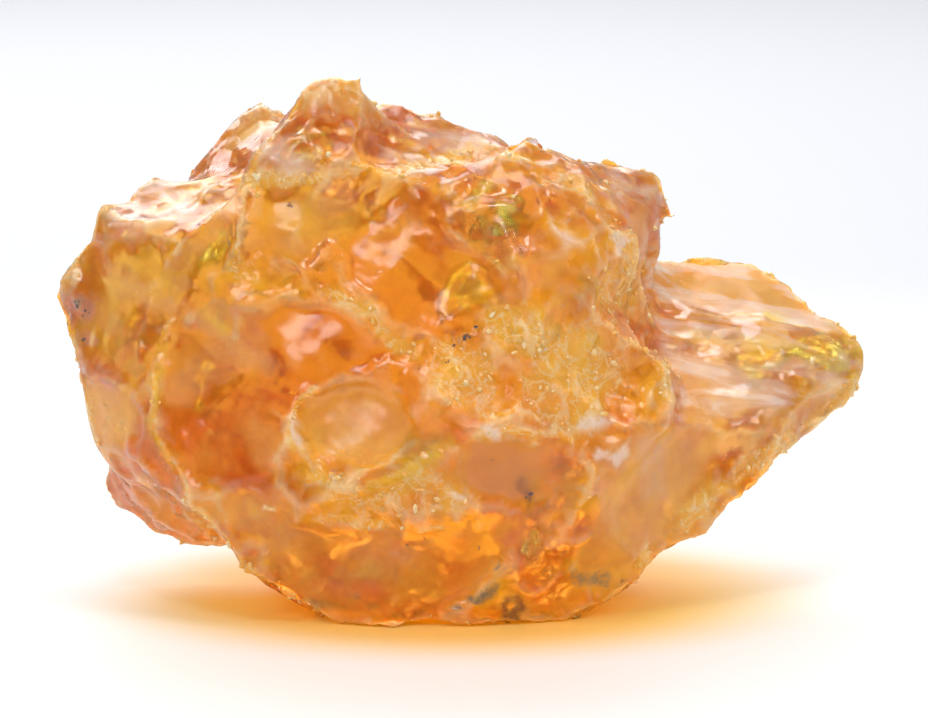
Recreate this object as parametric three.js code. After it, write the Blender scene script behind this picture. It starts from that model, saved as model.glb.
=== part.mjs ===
// A rough, unpolished nugget of amber, as one closed solid.
//
// The nugget is described the way it came to be: lumps of resin that set together, then flakes
// struck off the outside, each leaving a shallow curved scar with a sharp rim.
// Millimetres, +Z up. X runs along the nugget's length, and -Y is its front.
// The origin is the middle of the footprint, on the flat break that the nugget rests on.

import * as THREE from "three";
import { ConvexHull } from "three/addons/math/ConvexHull.js";

const CELL = 1.15; // spacing of the sampling grid, and so about the size of a facet
const MARGIN = 2.5; // empty border of the grid round the lumps
const BLEND = 2; // how far one lump runs into the next
const WOBBLE = 0.14; // height of the slow unevenness on every face
const WARP = 0.4; // how far a scar's rim strays from a true oval
const SWELL = 3; // how far below its widest section a scar's floor is, in depths
const CLEARANCE = 0.2; // how far above that section it reaches, as a share of width plus height
const BITE = 1.5; // the most that a scar takes anywhere below the lumps, in depths
const START = 40; // how far outside a flake's line begins
const STRIDE = 0.2; // step along that line
const SQUARING = 0.125; // how much of a scar's width plus height its direction is read over
const BISECTIONS = 16; // halvings that find where a grid edge meets the surface
const HAIR = CELL / 50; // step over which the surface's direction is read
const TURNS = 40; // steps in which a vertex moves to where its planes meet
const PULL = 0.6; // share of the way to its planes that a vertex moves in a step
const TINY = 1e-9;
const LEVEL = 0.02; // the resting break is even to this height, and is then made truly level
const AMBER_COLOUR = 0xd9821f;

// ---------------------------------------------------------------- lumps

// Each lump is the convex hull of its outermost points.
const LUMPS = {
  core: [
    [-5, -8.2, -1.2], [2, -7.8, -1.2], [4.6, -6.2, -1], [10.5, -5, 2.6], [-12.4, -7, 2.9],
    [-8.4, 5.4, -1.2], [4.6, 7.4, -1.2], [10, 6, 4], [-13, 5, 4],
    [-16.8, -6.3, 12], [-17, -5.5, 17], [-15.6, -6.5, 7],
    [-7, -10.5, 9], [2, -11.5, 12], [8, -10, 9.5], [12.2, -6, 11], [12.4, -5, 14.5],
    [-14, -4.5, 22], [-6, -6.5, 23.5], [3, -8.5, 21], [8, -7, 18],
    [-15, 9, 8], [-6, 13, 10], [6, 12.5, 9], [11, 9, 10],
    [-15, 8, 20], [-12, 9.5, 22.5], [-5, 11, 22], [6, 10, 20],
  ],
  left_shoulder: [
    [-22.2, 0, 20.4], [-21.4, 0, 22.6], [-20.5, 1, 23.6], [-19.3, 3, 24.1], [-16.5, 6, 24],
    [-22.7, 1, 15.2], [-22.4, 0, 11.8], [-21.1, 0, 8.8], [-16, -5.8, 17], [-16.3, -6, 10],
    [-14, -4.3, 22.3], [-19.5, 8, 11], [-19, 8, 20], [-12, 8, 22], [-20, -3, 17], [-20, -3.2, 12],
    [-12, 1, 24.5], [-19.4, 0, 7.6], [-15.8, -5, 7], [-15, 8, 8], [-10, 0, 14],
  ],
  left_nose: [
    [-24.1, 2, 17.3], [-23.6, 1, 18.6], [-23.4, 1.5, 16.4], [-22, -1, 18.5], [-21.5, -0.5, 15.5],
    [-21, 4, 20], [-21, 5, 15], [-20, 1, 20],
  ],
  left_foot: [
    [-15.7, 3, 2.6], [-18.4, 4, 2.8], [-20.4, 5, 4.2], [-21.2, 5, 5.7], [-20.7, 4, 7.1],
    [-15, 8, 3], [-17, 9, 8], [-12, 5, 2], [-13, -3, 5], [-10, 6, 9], [-20.5, 1, 9.4],
    [-20.4, 4, 12], [-14, 0, 12], [-19.6, -1.4, 9.4], [-17, -4, 8.2],
  ],
  peak: [
    [-8.5, -2, 31.2], [-7.3, -2, 31.5], [-5, -1, 30.6], [-4.3, -1, 29.8], [-11, -4, 27.2],
    [-13.5, -4.5, 24.3], [-5, -5, 27], [-8.5, -5.5, 27], [-6, 3, 29.3], [-10, 3, 27.8],
    [-12, 5, 22], [-2, 2, 26], [-2, -4, 22], [-14, -1, 22], [-13, -5, 21.4], [-6, -6.4, 22.4],
  ],
  rear_left_lobe: [
    [-16.3, 9, 24.1], [-14.3, 10, 27.1], [-12.4, 10, 27.8], [-10.5, 8, 27.9], [-8, 9, 26.5],
    [-16.4, 9, 20], [-7, 10.5, 23], [-15, 3, 22.4], [-9, 2, 26.6], [-12, 11.2, 22],
    [-17, 9, 14], [-14, 10.4, 9], [-6, 11.5, 18], [-8, 4, 14],
  ],
  saddle: [
    [-1.1, 4, 28.2], [1.8, 4, 26.9], [-4, 3, 29.2], [4, 5, 25.5], [-4, 9, 26], [3, 9, 24],
    [-6, -3, 25.6], [4, -3, 25], [-8, 9, 25.5], [6, 9, 21], [-8, -3, 18], [6, -3, 18],
    [-9, 10, 17], [7, 10, 17],
  ],
  knob: [
    [4.1, -3, 28.1], [1.8, -4, 27.2], [6.6, -3, 26.6], [9, -3.5, 24.6], [10.3, -4, 22.2],
    [10.5, -4.5, 20], [8.8, -6.5, 17.3], [5, -9.3, 18], [2, -8.8, 20], [-1, -7, 25],
    [1, -7.8, 24.4], [5, -8.3, 24], [8, -7.3, 22], [4, 3, 26], [8.6, 3, 23.6], [-4, -5.3, 25.3],
    [-3.4, -6.6, 23.6], [4.6, -8.8, 16.4], [10, 2, 17],
  ],
  rear_right_lobe: [
    [8.6, 7, 25.3], [10.9, 7, 24.7], [12.2, 7, 23.8], [12.9, 7, 22.4], [12.8, 7, 20.8],
    [12.1, 7, 19.2], [5, 1, 25], [9, 0, 23], [4, 9, 23.4], [8, 10.4, 21.4], [11, 9.8, 19],
    [7, 11, 16], [10.2, 0, 16.5], [12.2, 4, 15.5],
  ],
  wing: [
    [14.5, 10, 18.9], [17.8, 10, 18.9], [20.3, 8, 17.2], [22.1, 7, 16.4], [24, 5, 14.2],
    [24.3, 5, 13.3], [23.1, 3, 10.8], [20.6, 1, 9.1], [17.6, -1, 7.3], [14, -3, 4.2],
    [10.5, -5, 2.6], [11, 9, 18.4], [8, 10, 12], [12, 10, 6], [19, 9, 10], [22, 7.5, 11],
    [10, -5, 12], [14, -3.5, 10], [18.5, 0.3, 11], [22, 3, 12.4], [6, -6, 1], [8, 7, 2],
  ],
};

// A lump as its faces: each has an outward normal and its distance from the origin.
function lumpFaces(points) {
  const hull = new ConvexHull().setFromPoints(points.map((p) => new THREE.Vector3(...p)));
  return hull.faces.map((face) => ({ normal: face.normal, constant: face.constant }));
}

const lumps = Object.values(LUMPS).map(lumpFaces);

function lumpDistance(faces, p) {
  let far = -Infinity;
  for (const face of faces) far = Math.max(far, face.normal.dot(p) - face.constant);
  return far;
}

// The smaller of two distances, rounded over where they are nearly alike.
function softMin(a, b, width) {
  const near = Math.max(width - Math.abs(a - b), 0) / width;
  return Math.min(a, b) - (near * near * width) / 4;
}

// Slow unevenness, so that no face is a true plane.
function wobble(p) {
  return (
    Math.sin(0.71 * p.x + 1.3 * Math.sin(0.43 * p.z)) * Math.sin(0.66 * p.z + 0.9 * p.y) +
    0.6 * Math.sin(1.37 * p.y - 0.8 * p.x + 2.1) * Math.sin(1.21 * p.z - 0.5 * p.x)
  );
}

// The direction in which a field grows fastest, read over a distance of step each way.
function slope(field, p, step) {
  const at = (x, y, z) => field(new THREE.Vector3(p.x + x, p.y + y, p.z + z));
  return new THREE.Vector3(
    at(step, 0, 0) - at(-step, 0, 0),
    at(0, step, 0) - at(0, -step, 0),
    at(0, 0, step) - at(0, 0, -step),
  ).normalize();
}

function massDistance(p) {
  const near = lumps.reduce((d, faces) => softMin(d, lumpDistance(faces, p), BLEND), Infinity);
  return near + WOBBLE * wobble(p);
}

// ---------------------------------------------------------------- flakes

// A flake is knocked off where a line from outside, through aim, first meets a lump. side gives
// where that line comes from, as [turn from the front towards +X, height above level] in degrees.
// span is the width and height of the scar that it would leave on a flat face, depth is how deep
// it goes, and roll turns the span. The flake comes off square to the surface round it.
const FLAKES = [
  // front: the wide smooth breaks, from the top left
  { aim: [-1.6, 0, 19.8], side: [0, 10], span: [12.5, 10.5], depth: 0.8, roll: -30 },
  { aim: [-8.4, 0, 16.6], side: [0, 10], span: [13.5, 9.5], depth: 0.8, roll: -20 },
  { aim: [-14.2, 0, 12.8], side: [0, 10], span: [12.2, 21.6], depth: 1.3, roll: 10 },
  // front: peak and the pass to the knob
  { aim: [-0.6, 0, 27], side: [8, 50], span: [9, 6.4], depth: 0.4, roll: -14 },
  // knob
  { aim: [7.6, 0, 23.4], side: [20, 10], span: [5, 4], depth: 0.35, roll: 40 },
  // left shoulder and nose
  { aim: [-20, 0, 19.4], side: [-30, 6], span: [6.9, 8.1], depth: 0.5 },
  { aim: [-19.4, 0, 15], side: [-30, 2], span: [6.2, 9.4], depth: 0.5, roll: 6 },
  { aim: [-18, 2, 23], side: [-20, 60], span: [10, 6.2], depth: 0.5, roll: 14 },
  // front: under the middle
  { aim: [-6.4, 0, 12], side: [0, 10], span: [10.8, 9.5], depth: 0.55 },
  { aim: [3.2, 0, 9.2], side: [0, 0], span: [8.6, 7], depth: 0.5, roll: 24 },
  { aim: [-6.6, 0, 4.6], side: [0, -10], span: [14.9, 8.1], depth: 0.5, roll: -10 },
  { aim: [0, 0, 4.6], side: [0, -10], span: [10.8, 8.1], depth: 0.45 },
  { aim: [6.4, 0, 13.4], side: [10, 4], span: [8.1, 6.8], depth: 0.4 },
  { aim: [8.4, 0, 7.4], side: [20, -6], span: [10.8, 9.5], depth: 0.6, roll: 30 },
  { aim: [1, 0, 15.4], side: [0, 10], span: [8.1, 5.4], depth: 0.35 },
  // wing: its long upper break, then its rim and underside
  { aim: [17, 6, 16], side: [0, 60], span: [14, 8], depth: 0.4, roll: -14 },
  { aim: [14.8, 0, 8.6], side: [20, 0], span: [7, 5], depth: 0.45, roll: 30 },
  { aim: [19.4, 2, 9.6], side: [30, -10], span: [7, 4.5], depth: 0.4, roll: 36 },
  // right end and back
  { aim: [17, 5, 10], side: [150, -10], span: [12, 10], depth: 0.8, roll: 20 },
  { aim: [4, 5, 15], side: [174, 4], span: [15, 13], depth: 1.1, roll: 30 },
  { aim: [-7, 5, 13], side: [188, -5], span: [13, 13], depth: 0.9 },
  { aim: [-15, 5, 14], side: [215, 0], span: [11, 14], depth: 0.8, roll: -20 },
  { aim: [-3, 6, 22], side: [180, 30], span: [14, 8], depth: 0.7, roll: -8 },
  { aim: [4, 5, 6], side: [172, -30], span: [14, 9], depth: 0.7, roll: 12 },
  { aim: [-10, 5, 5], side: [200, -30], span: [14, 9], depth: 0.7 },
  // left end
  { aim: [-18, 5, 15], side: [-110, 0], span: [8, 12], depth: 0.6 },
  { aim: [-16, 5, 7], side: [-120, -20], span: [9, 7], depth: 0.5 },
];

function direction([turn, height]) {
  const a = THREE.MathUtils.degToRad(turn);
  const e = THREE.MathUtils.degToRad(height);
  return new THREE.Vector3(Math.sin(a) * Math.cos(e), -Math.cos(a) * Math.cos(e), Math.sin(e));
}

// Walks in from outside, from the side that the flake came off, to where the lumps begin.
function strikePoint(aim, outward) {
  const p = new THREE.Vector3(...aim).addScaledVector(outward, START);
  while (massDistance(p) > 0) p.addScaledVector(outward, -STRIDE);
  return p;
}

// The rounded space that a flake leaves: an egg whose flat end cuts a level face in an oval as
// large as the span, and whose tall end clears what stands above that face.
function scar({ aim, side, span, depth, roll = 0 }) {
  const struck = strikePoint(aim, direction(side));
  const outward = slope(massDistance, struck, (span[0] + span[1]) * SQUARING);
  const level = new THREE.Vector3(-outward.y, outward.x, 0).normalize();
  level.applyAxisAngle(outward, THREE.MathUtils.degToRad(roll));
  const upright = new THREE.Vector3().crossVectors(outward, level);
  const below = SWELL * depth;
  const spread = Math.sqrt(1 - (1 - 1 / SWELL) ** 2);
  return {
    centre: struck.addScaledVector(outward, below - depth),
    axes: [level, upright, outward],
    radii: [span[0] / 2 / spread, span[1] / 2 / spread],
    below,
    above: CLEARANCE * (span[0] + span[1]),
    bite: BITE * depth,
  };
}

const scars = FLAKES.map(scar);

// Distance to a scar's space, true at its surface and near enough elsewhere.
function scarDistance({ centre, axes, radii, below, above }, p) {
  const from = p.clone().sub(centre);
  const radius = [...radii, from.dot(axes[2]) < 0 ? below : above];
  let once = 0;
  let twice = 0;
  axes.forEach((axis, i) => {
    const along = axis.dot(from) / radius[i];
    once += along * along;
    twice += (along / radius[i]) ** 2;
  });
  const reach = Math.sqrt(once);
  return (reach * (reach - 1)) / Math.max(Math.sqrt(twice), TINY);
}

// The same place moved a little, so that a scar's rim isn't a true oval.
function warped(p) {
  return new THREE.Vector3(
    p.x + WARP * Math.sin(0.9 * p.z + 1.7 * Math.sin(0.5 * p.x + 0.4 * p.y)),
    p.y + 0.5 * WARP * Math.sin(0.8 * p.x - 0.7 * p.z),
    p.z + WARP * Math.sin(0.8 * p.x + 1.9 * Math.sin(0.6 * p.z - 0.3 * p.y) + 1),
  );
}

// Distance to the nugget: below zero inside. The plane z = 0 is the break that it rests on.
function nuggetDistance(p) {
  const q = warped(p);
  const mass = massDistance(p);
  let far = Math.max(mass, -p.z);
  for (const s of scars) far = Math.max(far, Math.min(-scarDistance(s, q), mass + s.bite));
  return far;
}

// ---------------------------------------------------------------- surface

// Where the field is zero on the edge from a to b, which lie on its two sides.
function crossing(field, a, b, fa) {
  const low = a.clone();
  const high = b.clone();
  const middle = new THREE.Vector3();
  for (let i = 0; i < BISECTIONS; i++) {
    middle.addVectors(low, high).multiplyScalar(0.5);
    if (field(middle) < 0 === fa < 0) low.copy(middle);
    else high.copy(middle);
  }
  return middle;
}

// Of the grid points inside the solid, and of those outside it, keeps only the largest group of
// neighbours. The others are chips cut loose by two flakes, or bubbles shut in between lumps.
function settle(value, strides) {
  const groups = [];
  const seen = new Uint8Array(value.length);
  for (let first = 0; first < value.length; first++) {
    if (seen[first]) continue;
    seen[first] = 1;
    const members = [first];
    for (const n of members)
      for (const next of strides.flatMap((stride) => [n - stride, n + stride]))
        if (seen[next] === 0 && value[next] < 0 === value[first] < 0) {
          seen[next] = 1;
          members.push(next);
        }
    groups.push({ inside: value[first] < 0, members });
  }
  for (const inside of [true, false]) {
    const same = groups.filter((group) => group.inside === inside);
    same.sort((a, b) => b.members.length - a.members.length);
    for (const { members } of same.slice(1)) for (const n of members) value[n] *= -1;
  }
}

// Where two grid points inside the solid meet only across the diagonal of a square, takes in the
// nearer of the other two, so that no edge of the mesh is shared by four faces.
function fillDiagonals(value, strides) {
  const inside = (n) => value[n] < 0;
  let changed = true;
  while (changed) {
    changed = false;
    for (let axis = 0; axis < 3; axis++) {
      const u = strides[axis];
      const v = strides[(axis + 1) % 3];
      for (let n = 0; n + u + v < value.length; n++) {
        const [a, b, c, d] = [n, n + u, n + u + v, n + v];
        if (inside(a) === inside(b) || inside(a) !== inside(c) || inside(b) !== inside(d)) continue;
        const [p, q] = inside(a) ? [b, d] : [a, c];
        const nearer = value[p] < value[q] ? p : q;
        value[nearer] = -Math.max(value[nearer], TINY);
        changed = true;
      }
    }
  }
}

// Turns a distance field into a closed mesh by dual contouring: one vertex in each cell that the
// surface passes through, moved to where the planes at its crossings meet, so that rims stay
// sharp, and one pair of triangles for each grid edge that the surface crosses.
function contour(field, low, high, cell) {
  const count = [0, 1, 2].map((k) => Math.ceil((high[k] - low[k]) / cell) + 1);
  const at = (i, j, k) =>
    new THREE.Vector3(low[0] + i * cell, low[1] + j * cell, low[2] + k * cell);
  const index = (i, j, k) => (k * count[1] + j) * count[0] + i;
  const value = new Float64Array(count[0] * count[1] * count[2]);
  for (let k = 0; k < count[2]; k++)
    for (let j = 0; j < count[1]; j++)
      for (let i = 0; i < count[0]; i++) value[index(i, j, k)] = field(at(i, j, k));
  const strides = [1, count[0], count[0] * count[1]];
  settle(value, strides);
  fillDiagonals(value, strides);

  const cells = new Map(); // each crossed cell's crossings, by the index of its lowest corner
  const faces = []; // the four cells round each crossed edge, in order
  const step = [[1, 0, 0], [0, 1, 0], [0, 0, 1]];
  for (let k = 1; k < count[2] - 1; k++)
    for (let j = 1; j < count[1] - 1; j++)
      for (let i = 1; i < count[0] - 1; i++)
        step.forEach(([di, dj, dk], axis) => {
          const fa = value[index(i, j, k)];
          const fb = value[index(i + di, j + dj, k + dk)];
          if (fa < 0 === fb < 0) return;
          const point = crossing(field, at(i, j, k), at(i + di, j + dj, k + dk), fa);
          const plane = { point, normal: slope(field, point, HAIR) };
          const u = step[(axis + 1) % 3];
          const v = step[(axis + 2) % 3];
          const round = [[0, 0], [1, 0], [1, 1], [0, 1]].map(([a, b]) =>
            [i, j, k].map((n, m) => n - a * u[m] - b * v[m]),
          );
          for (const corner of round) {
            const id = index(...corner);
            if (!cells.has(id)) cells.set(id, { corner, planes: [] });
            cells.get(id).planes.push(plane);
          }
          const ring = round.map((corner) => index(...corner));
          faces.push(fa < 0 ? ring : ring.reverse());
        });

  const number = new Map();
  const points = [];
  for (const [id, { corner, planes }] of cells) {
    const lowest = at(...corner);
    const highest = lowest.clone().addScalar(cell);
    const p = new THREE.Vector3();
    for (const plane of planes) p.addScaledVector(plane.point, 1 / planes.length);
    for (let turn = 0; turn < TURNS; turn++) {
      const pull = new THREE.Vector3();
      for (const { point, normal } of planes) {
        const off = normal.dot(point) - normal.dot(p);
        pull.addScaledVector(normal, (PULL * off) / planes.length);
      }
      p.add(pull).clamp(lowest, highest);
    }
    number.set(id, points.length);
    points.push(p);
  }

  const order = [];
  for (const ring of faces) {
    const [a, b, c, d] = ring.map((id) => number.get(id));
    const short = points[a].distanceTo(points[c]) < points[b].distanceTo(points[d]);
    order.push(...(short ? [a, b, c, a, c, d] : [b, c, d, b, d, a]));
  }
  const geometry = new THREE.BufferGeometry().setFromPoints(points);
  geometry.setIndex(order);
  geometry.computeVertexNormals();
  return geometry;
}

// ---------------------------------------------------------------- nugget

function amberNugget() {
  const reach = new THREE.Box3().setFromPoints(
    Object.values(LUMPS).flat().map((p) => new THREE.Vector3(...p)),
  );
  const low = reach.min.clone().subScalar(MARGIN).toArray();
  const high = reach.max.clone().addScalar(MARGIN).toArray();
  const material = new THREE.MeshStandardMaterial({
    color: AMBER_COLOUR,
    roughness: 0.35,
    metalness: 0,
  });
  const geometry = contour(nuggetDistance, low, high, CELL);
  const at = geometry.getAttribute("position");
  for (let i = 0; i < at.count; i++) if (at.getZ(i) < LEVEL) at.setZ(i, 0);
  geometry.computeBoundingBox();
  const middle = geometry.boundingBox.getCenter(new THREE.Vector3());
  geometry.translate(-middle.x, -middle.y, 0);
  const mesh = new THREE.Mesh(geometry, material);
  mesh.name = "amber_nugget";
  return mesh;
}

const nugget = new THREE.Group();
nugget.name = "raw_amber_piece";
nugget.add(amberNugget());

export default nugget;
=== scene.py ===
import math

import bmesh
import bpy
import numpy as np
from mathutils import Euler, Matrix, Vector, kdtree
from mathutils.bvhtree import BVHTree


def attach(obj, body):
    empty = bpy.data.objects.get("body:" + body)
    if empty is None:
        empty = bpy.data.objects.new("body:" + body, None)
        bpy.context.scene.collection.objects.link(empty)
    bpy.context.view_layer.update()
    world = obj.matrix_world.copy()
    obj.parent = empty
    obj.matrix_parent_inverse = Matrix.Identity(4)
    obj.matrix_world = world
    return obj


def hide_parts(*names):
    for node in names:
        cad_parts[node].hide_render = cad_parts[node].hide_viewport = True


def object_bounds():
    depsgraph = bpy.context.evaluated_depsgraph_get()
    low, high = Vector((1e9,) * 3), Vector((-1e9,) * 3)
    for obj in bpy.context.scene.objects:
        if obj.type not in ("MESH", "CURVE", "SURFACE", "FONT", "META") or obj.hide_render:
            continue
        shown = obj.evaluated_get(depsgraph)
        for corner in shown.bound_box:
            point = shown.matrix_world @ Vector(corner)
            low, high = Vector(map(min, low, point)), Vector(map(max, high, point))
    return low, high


# The looks of a rough amber nugget: a clear to hazy resin body with fine broken relief, pale and
# crumbly along its rims, with small grains on them, and cracks, bubbles and specks sealed inside.
# Sizes and places are in millimetres until they go into a mesh.

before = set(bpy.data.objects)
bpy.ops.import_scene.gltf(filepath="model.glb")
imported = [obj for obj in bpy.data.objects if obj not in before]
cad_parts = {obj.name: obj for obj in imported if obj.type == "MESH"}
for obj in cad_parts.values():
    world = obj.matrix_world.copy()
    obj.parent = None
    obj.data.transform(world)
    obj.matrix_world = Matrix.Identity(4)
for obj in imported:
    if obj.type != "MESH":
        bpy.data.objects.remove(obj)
cad_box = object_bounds()

MM = 0.001
NODE = "amber_nugget"

# ------------------------------------------------------------------ view

VIEW_ANGLE = math.radians(10)
VIEW_DISTANCE = 320
VIEW_TARGET = np.array([0.29, -0.68, 14.2])
VIEW_ASIDE = np.array([1, 0, 0])
VIEW_ALONG = np.array([0, math.cos(VIEW_ANGLE), -math.sin(VIEW_ANGLE)])
VIEW_UP = np.array([0, math.sin(VIEW_ANGLE), math.cos(VIEW_ANGLE)])
VIEW_POINT = VIEW_TARGET - VIEW_DISTANCE * VIEW_ALONG
SENSOR = 36
LENS = 212.3


def make_camera():
    data = bpy.data.cameras.new("camera")
    data.sensor_width = SENSOR
    data.lens = LENS
    data.clip_start = 10 * MM
    camera = bpy.data.objects.new("camera", data)
    camera.location = Vector(VIEW_POINT * MM)
    camera.rotation_euler = (math.pi / 2 - VIEW_ANGLE, 0, 0)
    bpy.context.scene.collection.objects.link(camera)
    bpy.context.scene.camera = camera


# ------------------------------------------------------------------ shaders


class Link:
    """A node's output. Arithmetic on it adds Math nodes, so that a mask reads as a formula."""

    def __init__(self, finish, socket):
        self.finish = finish
        self.socket = socket

    def math(self, operation, *values):
        return self.finish.node("ShaderNodeMath", {"operation": operation}, values)

    def __add__(self, other):
        return self.math("ADD", self, other)

    __radd__ = __add__

    def __sub__(self, other):
        return self.math("SUBTRACT", self, other)

    def __rsub__(self, other):
        return self.math("SUBTRACT", other, self)

    def __mul__(self, other):
        return self.math("MULTIPLY", self, other)

    __rmul__ = __mul__

    def __abs__(self):
        return self.math("ABSOLUTE", self)

    def ramp(self, low, high, to_low=0, to_high=1):
        """Runs smoothly from to_low, where this is low, to to_high, where it is high."""
        return self.finish.node(
            "ShaderNodeMapRange",
            {"interpolation_type": "SMOOTHSTEP"},
            [self, low, high, to_low, to_high],
        )


def add_node(tree, kind, settings, values):
    """Adds a node to a tree: its settings first, then its sockets by name or place."""
    made = tree.nodes.new(kind)
    for name, value in (settings or {}).items():
        setattr(made, name, value)
    pairs = values.items() if isinstance(values, dict) else enumerate(values)
    for key, value in pairs:
        value = value.socket if isinstance(value, Link) else value
        if isinstance(value, bpy.types.NodeSocket):
            tree.links.new(value, made.inputs[key])
        else:
            made.inputs[key].default_value = value
    return made


class Finish:
    """The node tree of a material, or of the world, while it is being built."""

    def __init__(self, owner):
        owner.use_nodes = True
        self.owner = owner
        self.tree = owner.node_tree
        self.tree.nodes.clear()

    def node(self, kind, settings=None, values=(), output=0):
        """Adds a node and returns one of its outputs."""
        return Link(self, add_node(self.tree, kind, settings, values).outputs[output])

    def vector(self, operation, *values, output=0):
        return self.node("ShaderNodeVectorMath", {"operation": operation}, values, output)

    def scaled(self, vector, share):
        return self.node("ShaderNodeVectorMath", {"operation": "SCALE"}, {0: vector, "Scale": share})

    def mask(self, name):
        return self.node("ShaderNodeAttribute", {"attribute_name": name}, output="Fac")

    def place(self):
        return self.node("ShaderNodeTexCoord", output="Object")

    def noise(self, size, detail=3, roughness=0.55, distortion=0, place=None):
        """Cloudy noise from 0 to 1, whose patches are about size millimetres."""
        settings = {"noise_dimensions": "3D"}
        values = {
            "Vector": place or self.place(),
            "Scale": 1 / (size * MM),
            "Detail": detail,
            "Roughness": roughness,
            "Distortion": distortion,
        }
        return self.node("ShaderNodeTexNoise", settings, values, "Fac")

    def random_tilt(self, size, place, share):
        """A small random vector, the same all over each cell of about size millimetres."""
        values = {"Vector": place, "Scale": 1 / (size * MM)}
        cells = self.node("ShaderNodeTexVoronoi", values=values, output="Color")
        return self.scaled(self.vector("SUBTRACT", cells, (0.5, 0.5, 0.5)), share)

    def mix(self, factor, a, b):
        """The colour a where factor is 0, b where it is 1."""
        return self.node(
            "ShaderNodeMix",
            {"data_type": "RGBA", "clamp_factor": True},
            {0: factor, 6: colour(a), 7: colour(b)},
            output=2,
        )

    def end(self, surface, volume=None, kind="ShaderNodeOutputMaterial"):
        """Links the shaders to the output, and returns the finished material or world."""
        values = {"Surface": surface}
        if volume is not None:
            values["Volume"] = volume
        add_node(self.tree, kind, None, values)
        return self.owner


def new_finish(name):
    return Finish(bpy.data.materials.new(name))


def colour(value):
    return value if isinstance(value, Link) else (*value, 1)


# ------------------------------------------------------------------ marks on the front

# Regions and lines on the front, as seen face on from the view point, in millimetres to the right
# of and above the view's target. A region is an outline; a line is a route with a half width.
FADE = 0.35

WINDOWS = {  # smooth broken faces
    "under_crust": [(-12.8, 2.9), (-10.2, 3.5), (-7.5, 2.8), (-5.8, 1.4), (-4.8, 0.4), (-5.4, -0.5),
                    (-7.8, -1.1), (-9.6, -2.1), (-10.5, -3.6), (-11.8, -2.4), (-13.2, 1.1)],
    "left_hollow": [(-17.3, 2), (-15.1, 1.7), (-13.1, 1.1), (-12.5, -0.8), (-11.4, -3), (-10.5, -4.7),
                    (-11.8, -7.1), (-14, -7.4), (-16, -6.5), (-17.3, -4.2), (-17.8, -1.2)],
    "wide_face": [(-5.4, 8.2), (-3.7, 9.6), (-2.6, 9.9), (-0.8, 7.8), (2.7, 5.2), (2.4, 3.5),
                  (0.9, 2.6), (-1.4, 1.4), (-3.2, 1.7), (-4.6, 2.7), (-6.7, 4.6), (-7.4, 6.4)],
    "tan_band": [(-11.8, 8.4), (-9.6, 9.6), (-7, 9.3), (-5.8, 8.7), (-7.5, 7), (-9.6, 5.7),
                 (-11.8, 6.4)],
    "bright_panel": [(-16.6, 9.6), (-13.4, 9.6), (-13.1, 7.3), (-13.8, 5.3), (-15.4, 5.2),
                     (-16.6, 6.7)],
    "pit_floor": [(-9.3, -2.4), (-7.8, -1.5), (-5.5, -1.3), (-3.7, -2.4), (-3, -3.9), (-4, -5.3),
                  (-6.1, -6.2), (-8.1, -5.9), (-9.3, -4.4)],
    "rust_face": [(0.6, -5), (2.4, -4.7), (5.3, -5.2), (4.7, -7.1), (3.6, -8.4), (0.9, -8.4),
                  (0.1, -7.4), (-0.1, -6.2)],
    "salmon_belly": [(-11.3, -9.4), (-7.8, -10), (-3.7, -10.3), (-0.8, -9.4), (0.9, -10), (2.1, -11.8),
                     (0.4, -14.1), (-3.7, -15.4), (-7.3, -15.3), (-10.2, -13.5), (-11.8, -11.8)],
    "left_cheek": [(-22.7, 6.1), (-20.4, 7), (-17.5, 5.8), (-17.8, 1.7), (-18.4, -1.2), (-19.5, -1.5),
                   (-22.5, 0.5)],
    "left_jaw": [(-22.6, -1.5), (-19.6, -1.7), (-19.5, -4.7), (-21, -5.3), (-22.2, -3.9)],
    "wing_flat": [(12.6, 0.5), (18.5, -0.1), (19.6, -2.4), (16.1, -3.9), (12.6, -3.6)],
    "wing_top": [(10.9, 5.7), (17.3, 5.9), (22, 1.7), (17.9, 2.3), (13.8, 3.5), (11.5, 3.5)],
    "knob_face": [(0.6, 9.9), (4.4, 9.9), (4.4, 8.1), (3.3, 7.5), (0.9, 8.4)],
    "rear_lobe": [(8, 9.9), (12, 9.6), (11.9, 7), (10.3, 6.1), (9.1, 8.1)],
    "lower_right": [(8, -4.2), (15, -4.2), (13.8, -9.4), (10.9, -12.9), (8, -14.1), (6.2, -11.8),
                    (8, -8.2)],
}

CRUSTS = {  # crumbly zones
    "middle": [(-2, 2.9), (5.6, 3.5), (8, 1.1), (8, -2.4), (5.6, -4.2), (0.9, -3.6), (-2, -2.4)],
    "knob_side": [(5.6, 10.4), (10.3, 9.9), (10.6, 6.4), (9.4, 2.4), (6.4, 1.7), (7.8, 5.6), (6.5, 8.6)],
    "right": [(5.6, 3.5), (10.3, 3.5), (12.6, -1.2), (10.3, -4.7), (8, -6.5), (5.6, -4.2)],
    "below_pit": [(-8.5, -7.5), (-5, -7.3), (-2, -5.6), (-0.4, -7.5), (0.6, -8.9), (-3, -9.6),
                  (-8.4, -9.3)],
}

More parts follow.
